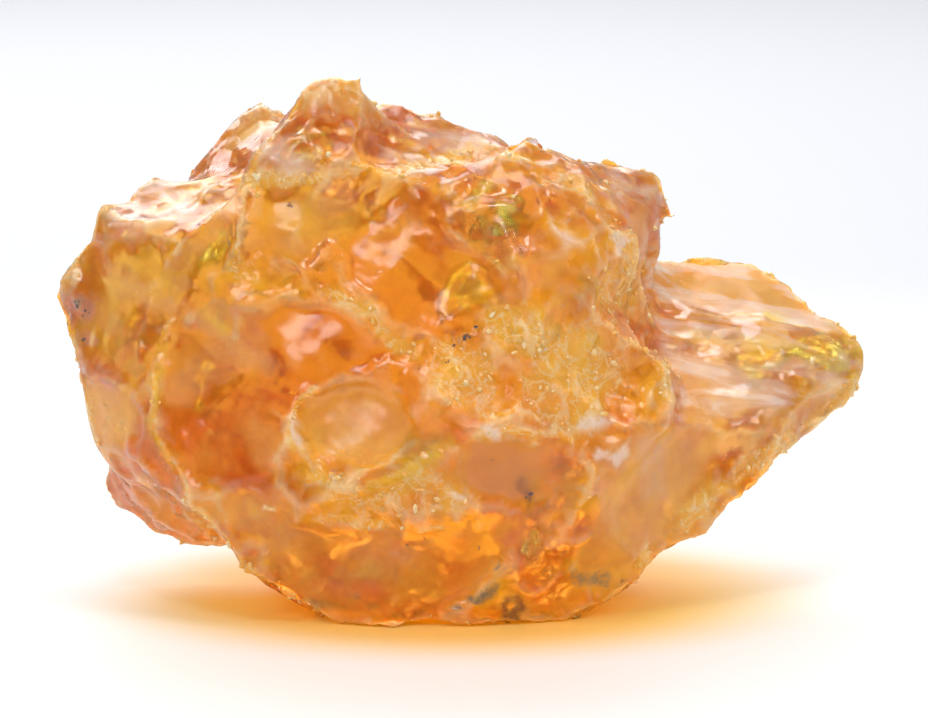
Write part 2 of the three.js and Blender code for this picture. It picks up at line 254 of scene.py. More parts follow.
SEAMS = {  # rims between faces: half width, then the route
    "crust_line": (0.55, [(-13.2, 5.2), (-11.8, 4.3), (-9.6, 4), (-7.3, 3.5), (-5.2, 2.3), (-4, 0.8),
                          (-2, -0.1)]),
    "wide_face_right": (0.25, [(-3.2, 9.9), (-1.4, 7.8), (0.6, 6.4), (2.7, 4.9), (3.3, 3.5)]),
    "brow": (0.5, [(-13.1, 10.5), (-9.6, 10.5), (-7, 10.9), (-3.2, 11.3), (0.9, 12.5), (3.9, 11.6)]),
    "knob_rim": (0.7, [(3.9, 11.6), (5.6, 10.5), (8, 9.3), (9.4, 7.8), (10.3, 5.8), (9.7, 3.5)]),
    "left_rim": (0.35, [(-17.8, -4.7), (-16.3, -8.5), (-14, -11.2), (-11.9, -13.2)]),
    "left_rim_top": (0.3, [(-17.3, 2.3), (-17.9, 0), (-18.2, -3), (-17.8, -4.7)]),
    "pit_rim": (0.5, [(-9, -1.8), (-10.2, -3.6), (-9.8, -5.1), (-8.7, -6.6), (-7.2, -7.5),
                      (-4.9, -7.9)]),
    "pit_rim_right": (0.45, [(-5.5, -7.4), (-3.7, -7), (-2, -5.7), (-0.8, -4.8)]),
    "panel_right": (0.3, [(-13.2, 9.9), (-12.9, 8), (-13.1, 6.2), (-12.6, 4.9)]),
    "rust_top": (0.35, [(-0.6, -5.3), (0.9, -4.6), (3.3, -4.4), (5.4, -5)]),
    "wing_rim": (0.8, [(23, -1.8), (20.8, -4.2), (17.3, -6), (13.8, -8.5), (10.9, -11.8)]),
    "belly_top": (0.4, [(-12.5, -8.8), (-9.6, -9.4), (-6, -9.8), (-2, -9.9), (0.6, -9)]),
}

# Tints on the front: name, half width or None for an outline, strength, points.
TINTS = {
    "deep": [
        (None, 1, WINDOWS["under_crust"]),
        (None, 0.8, WINDOWS["left_hollow"]),
        (None, 0.55, WINDOWS["wide_face"]),
        (None, 1, [(-1.4, -4), (0.6, -4.2), (0.4, -5.3), (-1.1, -5.2)]),
        (None, 1, [(9.1, 2.9), (12, 2.6), (11.9, 0.8), (9.4, 0.8)]),
        (None, 0.7, WINDOWS["rear_lobe"]),
        (None, 0.8, [(-21.3, -6.5), (-19.5, -6.5), (-19.2, -9.4), (-20.8, -9.6)]),
        (None, 0.6, [(-9.6, 14.4), (-4.3, 14.4), (-4.3, 12.2), (-7.3, 11.6), (-9.6, 12.5)]),
    ],
    "peach": [
        (None, 0.9, WINDOWS["pit_floor"]),
        (None, 0.9, WINDOWS["left_jaw"]),
        (None, 0.8, [(-12.8, -3), (-10.2, -4.7), (-10.5, -6.5), (-12.5, -6.2)]),
        (None, 0.7, WINDOWS["tan_band"]),
        (None, 0.75, WINDOWS["lower_right"]),
        (None, 0.8, [(-9, 16.9), (-7, 17), (-4.6, 15.1), (-4.6, 14.3), (-7.3, 14.4), (-9.6, 14.4)]),
        (None, 0.9, WINDOWS["wing_top"]),
        (0.7, 0.9, [(-19.8, 4.3), (-16.9, 2.9), (-14.4, 1.6), (-11.8, -0.4)]),
        (None, 0.7, [(-16.4, -7.5), (-12.5, -8.2), (-10.5, -7), (-9, -8.2), (-11.5, -10), (-14.6, -10)]),
    ],
    "rust": [
        (None, 1, WINDOWS["rust_face"]),
        (None, 0.8, [(3.6, -2.7), (5.6, -3.2), (5.6, -4.2), (3.9, -4)]),
        (None, 0.45, WINDOWS["salmon_belly"]),
    ],
    # painted glow: bright yellow lines and patches where light shining through thin rims and edges is
    # painted into the colour
    "painted_yellow_glow": [
        (None, 0.9, [(-14.6, 7.4), (-13.4, 7.3), (-13.6, 5.4), (-14.6, 5.4)]),
        (0.22, 1, [(-17.5, 0.8), (-17.9, -1.5), (-18.2, -3.6), (-17.9, -5.9), (-17.3, -7.6)]),
        (0.5, 0.8, SEAMS["pit_rim_right"][1]),
        (0.45, 0.9, [(6.5, -6.5), (5.5, -8.2), (4.3, -10), (4.1, -11.5)]),
        (0.5, 0.9, [(7.4, 4.3), (8, 3.7), (8.5, 3.2)]),
        (0.45, 0.9, [(17.9, 2.6), (20.8, 1.4), (23.1, 0.4)]),
        (0.6, 0.6, [(12.6, 1.2), (17.9, 0.7), (22.8, -0.8)]),
        (0.5, 0.6, [(-15.2, 2.8), (-14, 2)]),
        (0.7, 0.5, [(-13.9, -12.4), (-12.2, -13.3)]),
        (0.5, 0.5, [(3.9, 3.2), (6.2, 1.7), (7.7, 0.8)]),
    ],
    "streaky": [
        (None, 1, [(10, 6), (17.3, 6.4), (22.7, 2.2), (23.6, -1), (19, -3), (12.3, -4), (12, 0)]),
        (None, 0.9, [(-21, 9), (-17.5, 10.4), (-13, 10.2), (-13, 8.6), (-17, 8.2), (-20.5, 7)]),
        (None, 0.9, [(-5, 14.6), (2, 12.8), (0, 11.8), (-4.8, 12)]),
        (None, 0.7, [(8, 12), (12, 10.5), (11.9, 9), (8.5, 9.5)]),
    ],
    # painted glow: green-yellow flashes where light shining through the thin slope is painted into the
    # colour
    "painted_lime_glow": [
        (None, 1, [(-0.5, 9.3), (0.9, 8.4), (3.3, 7.2), (4.7, 5.7), (2.1, 5.5), (-0.2, 7.5)]),
        (0.4, 1, [(1.8, 8.9), (2.9, 7.6)]),
        (0.35, 1, [(0.5, 11.3), (1.1, 10.4)]),
    ],
    # painted highlight: pinkish-white glints and sheen on facets that catch the light
    "painted_sheen": [
        (None, 0.9, [(5.3, 7.5), (6.2, 7.6), (6.9, 6.6), (5.7, 6.5)]),
        (None, 1, [(6.8, -3.9), (7.7, -3.4), (8.7, -3.4), (8.1, -4.2)]),
        (0.35, 0.8, [(8, -5.6), (9.1, -6.1), (9.4, -5.4)]),
        (None, 0.6, [(-12.5, 12.6), (-10.6, 13), (-9, 11.3), (-10, 10.7), (-11.6, 11.4)]),
        (0.3, 0.9, [(1.3, -4.3), (1.8, -4.6)]),
        (0.25, 0.9, [(-0.7, -7.9), (-0.3, -8.2)]),
        (0.3, 0.8, [(-10.1, -3.3), (-9.9, -4.2), (-9.6, -5)]),
        (0.3, 0.7, [(8.8, 7.6), (9.4, 7), (9.2, 6.2)]),
    ],
    "mineral": [
        (None, 1, [(-0.1, -14.4), (0.9, -14.4), (1.9, -13.8), (2.2, -12.9), (1.5, -13), (0.8, -13.6),
                   (0.1, -13.9)]),
        (0.3, 0.9, [(1.8, -12.3), (2, -12)]),
        (0.3, 0.9, [(-0.7, -14.5), (-0.4, -14.6)]),
        (None, 0.75, [(5.9, -12.1), (7.2, -12.4), (9, -12.2), (8.6, -13.6), (7.2, -13.6), (6.2, -12.9)]),
    ],
    "brown": [
        (0.32, 1, [(2.2, -14.6), (2.6, -14.1), (3.3, -14.2), (3.5, -14.8), (3, -15.3), (2.4, -15.2),
                   (2.2, -14.6)]),
        (0.4, 0.6, [(3.4, -7.2), (3.8, -8.2)]),
    ],
    "mauve": [
        (None, 0.8, WINDOWS["wing_flat"]),
        (None, 0.6, [(10.3, -4.7), (12, -4.7), (11.8, -8.2), (10.5, -8.2)]),
        (None, 0.5, [(-18.9, 8.7), (-16.9, 8.7), (-16.9, 7.5), (-18.9, 7.5)]),
        (0.5, 0.9, [(-22.8, 3.3), (-22.2, 2.8)]),
        (0.35, 0.9, [(-22.3, 1.2), (-22.1, 1)]),
    ],
}


WILD_TINTS = {  # the most of each tint away from the front
    "deep": 0.9,
    "peach": 0.7,
    "rust": 0.5,
    "painted_yellow_glow": 0.7,
    "streaky": 0.8,
    "painted_lime_glow": 0.25,
    "mauve": 0.5,
    "painted_sheen": 0.3,
    "mineral": 0.3,
    "brown": 0.2,
}


def face_on(points):
    """Where points lie on the plane through the view's target, as seen from the view point."""
    away = points - VIEW_POINT
    scale = VIEW_DISTANCE / (away @ VIEW_ALONG)
    return np.stack([away @ VIEW_ASIDE * scale, away @ VIEW_UP * scale], 1)


def segment_distance(points, a, b):
    a, b = np.array(a, float), np.array(b, float)
    along = np.clip((points - a) @ (b - a) / max((b - a) @ (b - a), 1e-9), 0, 1)
    return np.linalg.norm(points - a - along[:, None] * (b - a), axis=1)


def route_distance(points, route):
    return np.min([segment_distance(points, a, b) for a, b in zip(route, route[1:])], axis=0)


def outline_distance(points, outline):
    """Distance to a closed outline, below zero inside it."""
    closed = outline + outline[:1]
    inside = np.zeros(len(points), bool)
    for (ax, ay), (bx, by) in zip(closed, closed[1:]):
        crosses = (ay > points[:, 1]) != (by > points[:, 1])
        x = ax + (points[:, 1] - ay) * (bx - ax) / (by - ay if by != ay else 1e-9)
        inside ^= crosses & (points[:, 0] < x)
    return route_distance(points, closed) * np.where(inside, -1, 1)


def smooth(low, high, value):
    t = np.clip((value - low) / (high - low), 0, 1)
    return t * t * (3 - 2 * t)


# ------------------------------------------------------------------ noise on points


def lattice_noise(points, size, seed):
    """Smooth noise from -1 to 1, whose patches are about size across."""
    p = points / size
    cell = np.floor(p).astype(np.int64)
    t = p - cell
    t = t * t * (3 - 2 * t)
    total = np.zeros(len(p))
    for corner in range(8):
        offset = np.array([corner & 1, corner >> 1 & 1, corner >> 2 & 1])
        n = (cell + offset) @ np.array([73856093, 19349663, 83492791]) + seed * 6971
        n = (n ^ (n >> 13)) * 1274126177 & 0x7FFFFFFF
        weight = np.prod(np.where(offset, t, 1 - t), axis=1)
        total += weight * ((n ^ (n >> 16)) % 10007 / 5003 - 1)
    return total


def cloud(points, size, seed, octaves=3):
    return sum(lattice_noise(points, size / 2**k, seed + k) / 2**k for k in range(octaves))


# ------------------------------------------------------------------ body mesh

THICK = 15
THIN = 3
DIVIDED = 2  # how often the solid's faces are halved
EVENING = [0.6, -0.62] * 10  # smooths without shrinking
SHARP = math.radians(34)

WINDOW_SUNK = 0.22
SEAM_RISE = 0.12
PIT_SUNK = 0.45

BROAD = {"count": 420, "tilt": 0.13, "most": 0.3}  # wide shallow breaks
CRUMBS = {"count": 2600, "tilt": 0.4, "most": 0.2}  # crumbly grain
CHIPS = {"count": 1200, "least": 0.5, "most": 1.6, "depth": 0.13, "power": 0.8, "lean": 0.12}
RIPPLE_HEIGHT = 0.012
RIPPLE_RATE = 5.2
SPIKE_ROUNDS = 8
SPIKE_LOW = 0.055
SPIKE_HIGH = 0.12


def read_points(mesh):
    flat = np.empty(len(mesh.vertices) * 3, np.float32)
    mesh.vertices.foreach_get("co", flat)
    return flat.reshape(-1, 3).astype(float) / MM


def write_points(mesh, points):
    mesh.vertices.foreach_set("co", (points * MM).astype(np.float32).ravel())
    mesh.update()


def read_normals(mesh):
    flat = np.empty(len(mesh.vertices) * 3, np.float32)
    mesh.vertex_normals.foreach_get("vector", flat)
    return flat.reshape(-1, 3).astype(float)


def write_mask(mesh, name, values):
    layer = mesh.attributes.new(name, "FLOAT", "POINT")
    layer.data.foreach_set("value", np.clip(values, 0, 1).astype(np.float32))


def fine_copy(node):
    """The solid's mesh, merged into quads with its sharp rims kept, and divided twice."""
    bm = bmesh.new()
    bm.from_mesh(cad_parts[node].data)
    bmesh.ops.remove_doubles(bm, verts=bm.verts, dist=1e-4 * MM)
    bmesh.ops.join_triangles(
        bm,
        faces=bm.faces,
        angle_face_threshold=math.radians(50),
        angle_shape_threshold=math.radians(60),
    )
    crease = bm.edges.layers.float.new("crease_edge")
    for edge in bm.edges:
        bend = abs(edge.calc_face_angle(0))
        edge[crease] = min(max((bend - math.radians(25)) / math.radians(35), 0), 1) * 0.7
    mesh = bpy.data.meshes.new("amber")
    bm.to_mesh(mesh)
    bm.free()
    piece = bpy.data.objects.new("amber", mesh)
    bpy.context.scene.collection.objects.link(piece)
    divide = piece.modifiers.new("divide", "SUBSURF")
    divide.levels = divide.render_levels = DIVIDED
    bpy.context.view_layer.update()
    fine = bpy.data.meshes.new_from_object(piece.evaluated_get(bpy.context.evaluated_depsgraph_get()))
    piece.modifiers.clear()
    piece.data = fine
    return piece


def edge_ends(mesh):
    ends = np.empty(len(mesh.edges) * 2, np.int32)
    mesh.edges.foreach_get("vertices", ends)
    return ends.reshape(-1, 2).T


def evened(mesh, values, steps):
    """Values, moved towards the mean of each point's neighbours by each step's share in turn."""
    a, b = edge_ends(mesh)
    size = len(values)
    count = np.bincount(a, minlength=size) + np.bincount(b, minlength=size)
    for share in steps:
        columns = values.reshape(size, -1).T
        total = [np.bincount(a, c[b], size) + np.bincount(b, c[a], size) for c in columns]
        mean = (np.array(total) / count).T.reshape(values.shape)
        values = values + share * (mean - values)
    return values


def tree_of(points):
    tree = kdtree.KDTree(len(points))
    for i, point in enumerate(points):
        tree.insert(point, i)
    tree.balance()
    return tree


def facets(points, seeds, tilt, rng, nearest=6):
    """Heights of a surface broken into shallow bowls, one round each seed, that meet in sharp rims."""
    tree = tree_of(seeds)
    found = [tree.find_n(p, nearest) for p in points]
    near = np.array([[i for _, i, _ in row] for row in found])
    away = points[:, None] - seeds[near]
    spacing = np.median([row[0][2] for row in found]) * 1.6
    slopes = rng.normal(0, tilt, (len(seeds), 3))
    heights = np.einsum("nkj,nkj->nk", away, slopes[near])
    heights += (1.6 * tilt / spacing) * np.einsum("nkj,nkj->nk", away, away)
    lowest = heights.min(axis=1)
    return lowest - np.median(lowest)


def chips(points, normals, seeds, radii, depths, lean, rng):
    """How deep each point is cut by shallow bowls struck round the seeds, each along a leaning axis."""
    tree = tree_of(points)
    drop = np.zeros(len(points))
    for seed, radius, depth in zip(seeds, radii, depths):
        near = np.array([i for _, i, _ in tree.find_range(points[seed], radius * 1.6)], int)
        axis = normals[seed] + rng.normal(0, lean, 3)
        axis /= np.linalg.norm(axis)
        away = points[near] - points[seed]
        height = away @ axis
        across = np.linalg.norm(away - height[:, None] * axis, axis=1) / radius
        cut = np.clip(height + depth * (1 - across**4), 0, 2 * depth) * smooth(1.6, 1.2, across)
        drop[near] = np.maximum(drop[near], cut * smooth(0.2, 0.5, normals[near] @ axis))
    return drop


def arrises(mesh, normals):
    """How sharply the surface bends outwards at each point, in radians for each edge's length."""
    a, b = edge_ends(mesh)
    points = read_points(mesh)
    along = points[b] - points[a]
    along /= np.maximum(np.linalg.norm(along, axis=1), 1e-6)[:, None]
    bend = np.einsum("ij,ij->i", normals[b] - normals[a], along)
    total = np.bincount(a, bend, len(points)) + np.bincount(b, bend, len(points))
    count = np.bincount(a, minlength=len(points)) + np.bincount(b, minlength=len(points))
    return total / count


def thinness(mesh, points, normals):
    """1 where the nugget is thin behind a point, and 0 where it is thick."""
    solid = BVHTree.FromPolygons(points.tolist(), [tuple(p.vertices) for p in mesh.polygons])
    through = np.full(len(points), THICK)
    for i, (point, normal) in enumerate(zip(points, normals)):
        inward = Vector(-normal)
        struck = solid.ray_cast(Vector(point) + inward * 0.05, inward, THICK)
        if struck[3] is not None:
            through[i] = struck[3]
    return evened(mesh, smooth(THICK, THIN, through), [0.5] * 12)


def make_amber():
    piece = fine_copy(NODE)
    mesh = piece.data
    rng = np.random.default_rng(7)
    points = read_points(mesh)
    low, high = points.min(0), points.max(0)

    # Even out the solid's steps without shrinking it.
    write_points(mesh, evened(mesh, points, EVENING))
    points = read_points(mesh)
    normals = read_normals(mesh)

    # Lay the faces, seams and crumbly zones out on the front; elsewhere noise places them.
    flat = face_on(points)
    towards = -(normals @ VIEW_ALONG)
    front = smooth(0.0, 0.22, towards) * smooth(13, 9, points[:, 1])
    jitter = np.stack([cloud(points, 1.1, 40), cloud(points, 1.1, 50)], 1) * 0.3
    spot = flat + jitter

    def filled(outline, fade=FADE):
        return smooth(fade, -fade, outline_distance(spot, outline))

    def drawn(route, width):
        return smooth(1.35, 0.35, route_distance(spot, route) / width)

    window = np.max([filled(outline) for outline in WINDOWS.values()], axis=0) * front
    zone = np.max([filled(outline, 0.8) for outline in CRUSTS.values()], axis=0) * front
    seam = np.max([drawn(route, width) for width, route in SEAMS.values()], axis=0) * front
    seam = seam * (0.25 + 0.75 * smooth(-0.7, 0.5, cloud(points, 1.7, 78)))
    zone = zone * (0.2 + 0.8 * smooth(-0.7, 0.6, cloud(points, 2.6, 79)))
    wild = 1 - front
    crest = evened(mesh, arrises(mesh, normals), [0.5] * 6)
    rim = smooth(0.03, 0.1, crest)
    patchy = cloud(points, 6, 3)
    wild_crust = smooth(0.15, 0.7, patchy + 0.9 * rim) * wild
    crust = np.clip(np.maximum.reduce([zone * 0.85, seam, wild_crust]), 0, 1)
    crust = np.clip(crust + 0.55 * rim * (1 - window), 0, 1) * (1 - 0.85 * window * (1 - seam))

    # Sink the faces and raise the seams.
    points -= (WINDOW_SUNK * window * (1 - seam))[:, None] * normals
    rise = SEAM_RISE * seam * smooth(-0.9, 0.5, cloud(points, 2.2, 77))
    points += rise[:, None] * normals
    points -= (PIT_SUNK * filled(WINDOWS["pit_floor"], 1) * front)[:, None] * normals
    write_points(mesh, evened(mesh, points, [0.5]))
    points = read_points(mesh)
    normals = read_normals(mesh)

    # Break it: wide faces, then chips along the rims, then crumbs where it is crusty.
    seeds = points[rng.choice(len(points), BROAD["count"], False)]
    broad = np.clip(facets(points, seeds, BROAD["tilt"], rng), -BROAD["most"], BROAD["most"])
    points += (broad * (0.8 - 0.65 * window))[:, None] * normals
    write_points(mesh, points)
    normals = read_normals(mesh)
    chance = 0.06 + crust + rim
    seeds = rng.choice(len(points), CHIPS["count"], False, chance / chance.sum())
    radii = rng.uniform(CHIPS["least"], CHIPS["most"], len(seeds))
    depths = CHIPS["depth"] * radii ** CHIPS["power"]
    drop = chips(points, normals, seeds, radii, depths, CHIPS["lean"], rng) * (1 - 0.8 * window)
    points -= drop[:, None] * normals
    write_points(mesh, points)
    normals = read_normals(mesh)
    chance = crust**2 + 1e-4
    seeds = points[rng.choice(len(points), CRUMBS["count"], False, chance / chance.sum())]
    crumbs = np.clip(facets(points, seeds, CRUMBS["tilt"], rng), -CRUMBS["most"], CRUMBS["most"])
    points += (crumbs * (0.1 + 0.8 * crust))[:, None] * normals
    along = points @ np.array([0.5, 0.3, 0.8])
    ripple = np.sin(RIPPLE_RATE * along + 3 * cloud(points, 4, 21))
    points += (RIPPLE_HEIGHT * ripple * window)[:, None] * normals
    for _ in range(SPIKE_ROUNDS):
        mean = evened(mesh, points, [1.0])
        spike = smooth(SPIKE_LOW, SPIKE_HIGH, np.linalg.norm(points - mean, axis=1))
        points += spike[:, None] * (mean - points)
    points = np.clip(points, low, high)
    points[:, 2] = np.maximum(points[:, 2], 0)
    write_points(mesh, points)

    write_mask(mesh, "thin", thinness(mesh, points, read_normals(mesh)))
    write_mask(mesh, "crust", crust)
    write_mask(mesh, "rim", smooth(0.04, 0.14, arrises(mesh, read_normals(mesh))))
    write_mask(mesh, "window", window)
    wild_noise = {name: cloud(points, 9, 60 + 5 * k) for k, name in enumerate(TINTS)}
    for name, marks in TINTS.items():
        laid = [
            strength * (filled(shape, 0.5) if width is None else drawn(shape, width))
            for width, strength, shape in marks
        ]
        strewn = smooth(0.25, 0.9, wild_noise[name]) * WILD_TINTS[name]
        write_mask(mesh, name, np.max(laid, axis=0) * front + strewn * wild)
    for polygon in mesh.polygons:
        polygon.use_smooth = True
    mesh.set_sharp_from_angle(angle=SHARP)
    return piece


RESIN_IOR = 1.54

TONES = {  # colours of the hazy resin
    "honey": (0.84, 0.31, 0.003),
    "gold": (0.94, 0.49, 0.01),
    # painted glow: thin parts yellower and brighter, as if lit through from behind
    "thin": (0.88, 0.46, 0.04),
    "deep": (0.86, 0.2, 0.002),
    "peach": (0.88, 0.42, 0.12),
    "rust": (0.74, 0.26, 0.08),
    "mauve": (0.76, 0.5, 0.36),
    "pink streak": (0.93, 0.62, 0.4),
    "white streak": (0.96, 0.8, 0.66),
    "crumbly": (0.97, 0.54, 0.09),
    "vein": (1.0, 0.78, 0.38),
    # painted highlight: white glints on the crust
    "glint": (1.0, 0.9, 0.72),
    "rim": (1.0, 0.76, 0.4),
    # painted glow of light shining through thin rims
    "painted_yellow_glow": (0.98, 0.66, 0.03),
    # painted glow of green-yellow flashes
    "painted_lime_glow": (0.84, 0.72, 0.14),
    # painted highlight: pinkish-white glints on facets
    "painted_sheen": (0.95, 0.8, 0.7),
    "brown": (0.2, 0.09, 0.05),
    "mineral": (0.2, 0.2, 0.16),
}

HAZE = {  # how much each tint adds to the resin's haze
    "painted_sheen": 0.4,
    "brown": 0.4,
    "mineral": 0.6,
    "peach": 0.35,
    "rust": 0.3,
    "painted_yellow_glow": -0.15,
    "painted_lime_glow": -0.2,
}


def amber_finish():
    """Clear resin that soaks up blue and green, mixed with resin that is hazy near its surface."""
    f = new_finish("amber")
    crust, window, rim, streaky = (f.mask(name) for name in ("crust", "window", "rim", "streaky"))
    cloudy = f.noise(3.2, 4)
    fine = f.noise(0.55, 4, 0.65)
    grain = f.noise(0.16, 2)

    def tinted(name, share, under):
        return f.mix(f.mask(name) * share, under, TONES[name])

    body = f.mix(cloudy.ramp(0.35, 0.65), TONES["honey"], TONES["gold"])
    # Painted glow: where the nugget is thin it is yellower and brighter, as if lit through from behind.
    body = tinted("thin", 0.75, body)
    body = tinted("deep", 0.9, body)
    body = tinted("peach", 0.2 + fine * 0.8, body)
    body = tinted("rust", 0.85, body)
    body = tinted("mauve", 0.3 + fine * 0.7, body)

    # Streaks run along the nugget and slope a little down towards the wing's tip.
    slope = {"Vector": f.place(), "Angle": -0.16}
    turned = f.node("ShaderNodeVectorRotate", {"rotation_type": "Y_AXIS"}, slope)
    streak = f.noise(0.9, 3, 0.5, 0.6, f.vector("MULTIPLY", turned, (0.1, 0.4, 1)))
    body = f.mix(streaky * streak.ramp(0.42, 0.5), body, TONES["pink streak"])
    body = f.mix(streaky * streak.ramp(0.54, 0.62), body, TONES["white streak"])

    # Crumbly resin is paler, with thin veins, painted glints (small white highlights in its colour) and
    # pale rims.
    veins = abs(f.noise(1.5, 5, 0.6, 0.8) - 0.5).ramp(0.045, 0.0)
    crumbly = (crust * (0.35 + fine)).ramp(0.25, 0.8)
    body = f.mix(crumbly * 0.65, body, TONES["crumbly"])
    body = f.mix(crust.ramp(0.3, 0.8) * veins * 0.7, body, TONES["vein"])
    # Painted highlight: small white glints in the crust's colour.
    body = f.mix(crust * fine.ramp(0.6, 0.7) * 0.6, body, TONES["glint"])
    body = f.mix(rim * (0.15 + fine * 0.9) * (1 - window * 0.5), body, TONES["rim"])
    # Painted glow: bright yellow where light shining through thin rims is painted into the colour.
    body = tinted("painted_yellow_glow", 0.3 + fine, body)
    # Painted glow: green-yellow flashes of light shining through, painted into the colour.
    body = tinted("painted_lime_glow", 0.3 + fine, body)
    # Painted highlight: pinkish-white glints and sheen on facets, painted into the colour.
    body = tinted("painted_sheen", 0.4 + fine, body)
    body = tinted("brown", 0.4 + fine, body)
    stone = (f.mask("mineral") * (0.25 + fine * 1.2)).ramp(0.3, 0.85)
    body = f.mix(stone, body, TONES["mineral"])

    haze = 0.34 + window * 0.06 + crust * 0.42 + (cloudy - 0.5) * 0.5 + streaky * (streak - 0.3) * 0.5
    for name, share in HAZE.items():
        haze = haze + f.mask(name) * share
    haze = haze.ramp(0.0, 1.0, 0.1, 0.92)

    # Small flat breaks: each cell of a swaying pattern leans its own way.
    sway_values = {"Vector": f.place(), "Scale": 1 / (1.2 * MM)}
    sway = f.node("ShaderNodeTexNoise", values=sway_values, output="Color")
    swayed = f.vector("MULTIPLY_ADD", sway, (1.1 * MM,) * 3, f.place())
    crumbs = f.random_tilt(0.38, swayed, 0.04 + crust * 0.6)
    plates = f.random_tilt(1.5, swayed, 0.26 - window * 0.22)
    upright = f.node("ShaderNodeNewGeometry", output="Normal")
    leaning = f.vector("NORMALIZE", f.vector("ADD", upright, f.vector("ADD", crumbs, plates)))
    relief = fine * (0.2 + crust) + grain * (crust + 0.05) * 0.5
    bump = f.node(
        "ShaderNodeBump",
        values={"Strength": 0.5, "Distance": 0.1 * MM, "Height": relief, "Normal": leaning},
        output="Normal",
    )

    rough = 0.1 + crust * 0.08 + cloudy * 0.14 + f.mask("peach") * 0.1
    clear = f.node(
        "ShaderNodeBsdfPrincipled",
        values={
            "Base Color": (1, 0.93, 0.8, 1),
            "Transmission Weight": 1.0,
            "IOR": RESIN_IOR,
            "Roughness": rough,
            "Normal": bump,
        },
    )
    hazy = f.node(
        "ShaderNodeBsdfPrincipled",
        {"subsurface_method": "BURLEY"},
        {
            "Base Color": body,
            "Subsurface Weight": 1.0,
            "Subsurface Radius": (1.6, 0.9, 0.25),
            "Subsurface Scale": 1 * MM,
            "Specular IOR Level": 0.45,
            "IOR": RESIN_IOR,
            "Roughness": rough,
            "Normal": bump,
        },
    )
    resin = f.node("ShaderNodeMixShader", values={0: haze, 1: clear, 2: hazy})

    # Light from the lamps goes through the nugget and takes its colour.
    lamp = f.node("ShaderNodeLightPath", output="Is Shadow Ray")
    through = f.node("ShaderNodeBsdfTransparent", values={"Color": (0.64, 0.6, 0.07, 1)})
    surface = f.node("ShaderNodeMixShader", values={0: lamp, 1: resin, 2: through})
    soak = {"Color": (0.99, 0.72, 0.02, 1), "Density": 185.0}
    return f.end(surface, f.node("ShaderNodeVolumeAbsorption", values=soak))


# ------------------------------------------------------------------ small pieces


class Nodes:
    """A geometry node tree while it is being built."""

    def __init__(self, name):
        self.tree = bpy.data.node_groups.new(name, "GeometryNodeTree")
        self.tree.interface.new_socket("Geometry", in_out="OUTPUT", socket_type="NodeSocketGeometry")
        self.tree.interface.new_socket("Geometry", in_out="INPUT", socket_type="NodeSocketGeometry")
        self.entry = None
        self.given = {}

    def takes(self, **sizes):
        """Adds a named input for each size or seed, and starts the tree."""
        for name, value in sizes.items():
            kind = "NodeSocketInt" if isinstance(value, int) else "NodeSocketFloat"
            made = self.tree.interface.new_socket(name, in_out="INPUT", socket_type=kind)
            made.default_value = value
            self.given[made.identifier] = value
        self.entry = self.tree.nodes.new("NodeGroupInput")
        return self

    def node(self, kind, settings=None, values=(), output=0):
        """Adds a node and returns one of its outputs."""
        return add_node(self.tree, kind, settings, values).outputs[output]

    def grow(self, source, result, name):
        """Runs the tree on a copy of source and returns what it makes as a plain piece."""
        add_node(self.tree, "NodeGroupOutput", None, [result])
        piece = bpy.data.objects.new(name, source.data.copy())
        bpy.context.scene.collection.objects.link(piece)
        modifier = piece.modifiers.new(name, "NODES")
        modifier.node_group = self.tree
        for identifier, value in self.given.items():
            modifier[identifier] = value
        bpy.context.view_layer.update()
        grown = piece.evaluated_get(bpy.context.evaluated_depsgraph_get())
        mesh = bpy.data.meshes.new_from_object(grown)
        piece.modifiers.clear()
        piece.data = mesh
        return piece


def make_crumbs(amber, material):
    """Angular grains of broken resin, strewn where the surface is crumbly."""
    nodes = Nodes("crumbs").takes(Density=1.6e6, Smallest=0.05 * MM, Largest=0.27 * MM, Seed=11)
    entry = nodes.entry.outputs
    crust = nodes.node("GeometryNodeInputNamedAttribute", {"data_type": "FLOAT"}, {"Name": "crust"})
    thick = nodes.node("ShaderNodeMath", {"operation": "POWER"}, [crust, 2.2])
    spread = nodes.node("ShaderNodeMath", {"operation": "MULTIPLY"}, [thick, entry["Density"]])
    points = nodes.node(
        "GeometryNodeDistributePointsOnFaces",
        {"distribute_method": "RANDOM"},
        {"Mesh": entry["Geometry"], "Density": spread, "Seed": entry["Seed"]},
    )
    grain = nodes.node("GeometryNodeMeshIcoSphere", values={"Radius": 1.0, "Subdivisions": 1})
    turn = nodes.node(
        "FunctionNodeRandomValue",
        {"data_type": "FLOAT_VECTOR"},
        {"Min": (0, 0, 0), "Max": (6.283, 6.283, 6.283), "Seed": entry["Seed"]},
    )
    size = nodes.node(
        "FunctionNodeRandomValue",
        {"data_type": "FLOAT"},
        {2: entry["Smallest"], 3: entry["Largest"], "Seed": 3},
        output=1,
    )
    shape = nodes.node(
        "FunctionNodeRandomValue",
        {"data_type": "FLOAT_VECTOR"},
        {"Min": (0.35, 0.5, 0.6), "Max": (0.9, 1.0, 1.5), "Seed": 5},
    )
    scale = nodes.node("ShaderNodeVectorMath", {"operation": "SCALE"}, {0: shape, "Scale": size})
    strewn = nodes.node(
        "GeometryNodeInstanceOnPoints",
        values={"Points": points, "Instance": grain, "Rotation": turn, "Scale": scale},
    )
    solid = nodes.node("GeometryNodeRealizeInstances", values=[strewn])
    done = nodes.node("GeometryNodeSetMaterial", values={"Geometry": solid, "Material": material})
    return nodes.grow(amber, done, "crumbs")


def keep_inside(piece, low, high):
    points = np.clip(read_points(piece.data), low, high)
    write_points(piece.data, points)


